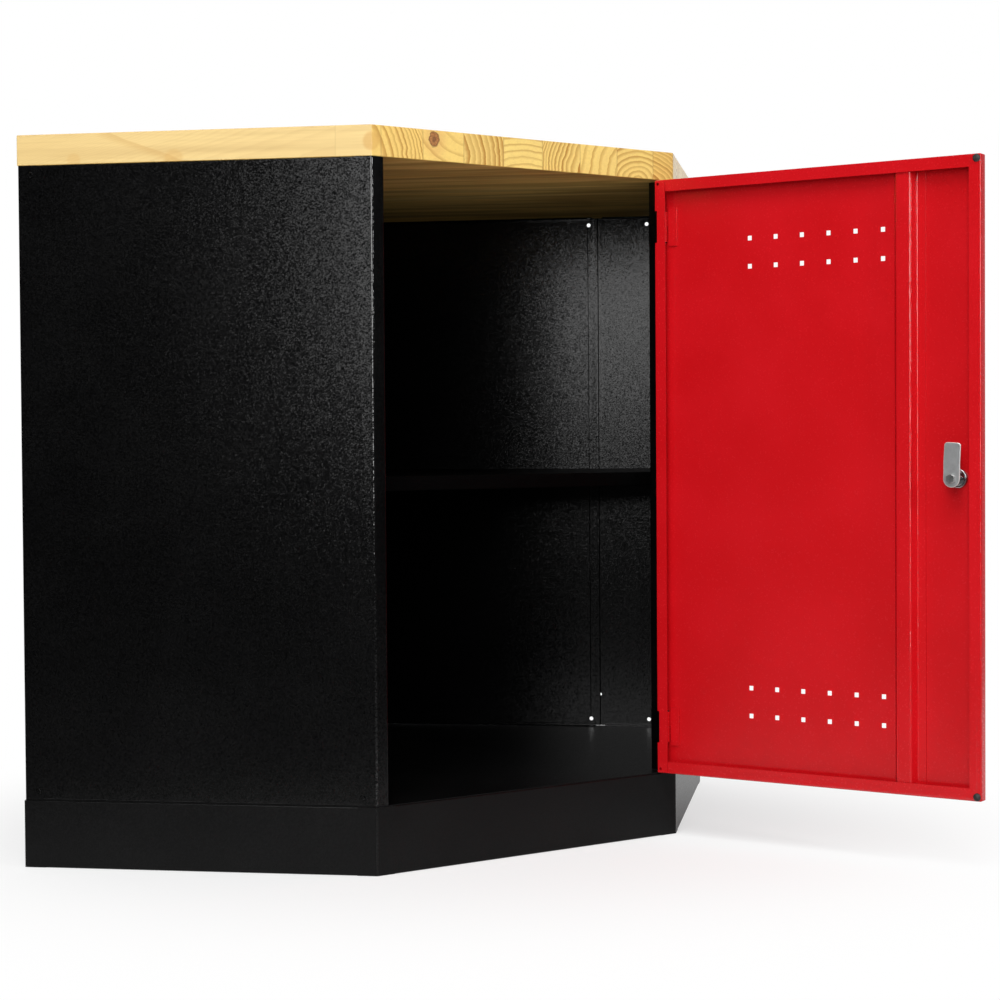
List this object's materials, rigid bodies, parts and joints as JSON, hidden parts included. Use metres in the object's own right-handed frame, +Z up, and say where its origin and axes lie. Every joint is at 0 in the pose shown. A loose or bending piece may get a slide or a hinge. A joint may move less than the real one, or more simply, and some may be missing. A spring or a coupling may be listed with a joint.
{
  "type": "corner storage cabinet",
  "caption": "Corner storage cabinet of folded sheet steel with a slanting front, a timber worktop, an inner shelf and a vented, hinged door closed by a cam lock.",
  "frame": {"origin": "the corner of the room at floor level, where the cabinet's two wall sides meet", "axes": "+X runs along one wall towards the hinge-side panel, -Y along the other wall towards the lock-side panel, and +Z is up"},
  "size_m": [1.1792, 0.785, 0.91],
  "materials": {
    "pine": "clear oiled edge-glued pine",
    "black_powder_coat": "fine-textured black powder coat",
    "red_powder_coat": "fine-textured red powder coat",
    "zinc_plated_steel": "bright zinc plate",
    "dull_chrome": "satin chrome plate",
    "black_rubber": "matt moulded rubber"
  },
  "bodies": {
    "cabinet": {"worktop": "pine", "left_side_panel": "black_powder_coat", "right_side_panel": "black_powder_coat", "left_rear_panel": "black_powder_coat", "right_rear_panel": "black_powder_coat", "floor_panel": "black_powder_coat", "shelf": "black_powder_coat", "left_rear_shelf_bracket": "black_powder_coat", "right_rear_shelf_bracket": "black_powder_coat", "left_side_shelf_bracket": "black_powder_coat", "right_side_shelf_bracket": "black_powder_coat", "plinth_skirt": "black_powder_coat", "left_plinth_channel": "black_powder_coat", "right_plinth_channel": "black_powder_coat", "lower_hinge_post_leaf": "black_powder_coat", "upper_hinge_post_leaf": "black_powder_coat", "lower_hinge_pin": "zinc_plated_steel", "upper_hinge_pin": "zinc_plated_steel"},
    "door": {"door_pan": "red_powder_coat", "door_stiffener": "red_powder_coat", "lower_hinge_door_leaf": "red_powder_coat", "upper_hinge_door_leaf": "red_powder_coat", "lower_bumper": "black_rubber", "upper_bumper": "black_rubber", "lock_housing": "dull_chrome", "lock_nut": "zinc_plated_steel"},
    "lock_core": {"lock_plug": "zinc_plated_steel", "lock_cam": "zinc_plated_steel", "cam_bolt": "zinc_plated_steel"}
  },
  "joints": [
    {"name": "door_hinge", "type": "hinge", "parent": "cabinet", "child": "door", "pos_m": [0.77422, -0.47528, 0.478], "axis": [0, 0, 1], "range_deg": [-110.4, 9.6]},
    {"name": "cam_turn", "type": "hinge", "parent": "door", "child": "lock_core", "pos_m": [1.14588, -0.64544, 0.478], "axis": [0.4163, 0.9092, 0], "range_deg": [0, 87]}
  ]
}
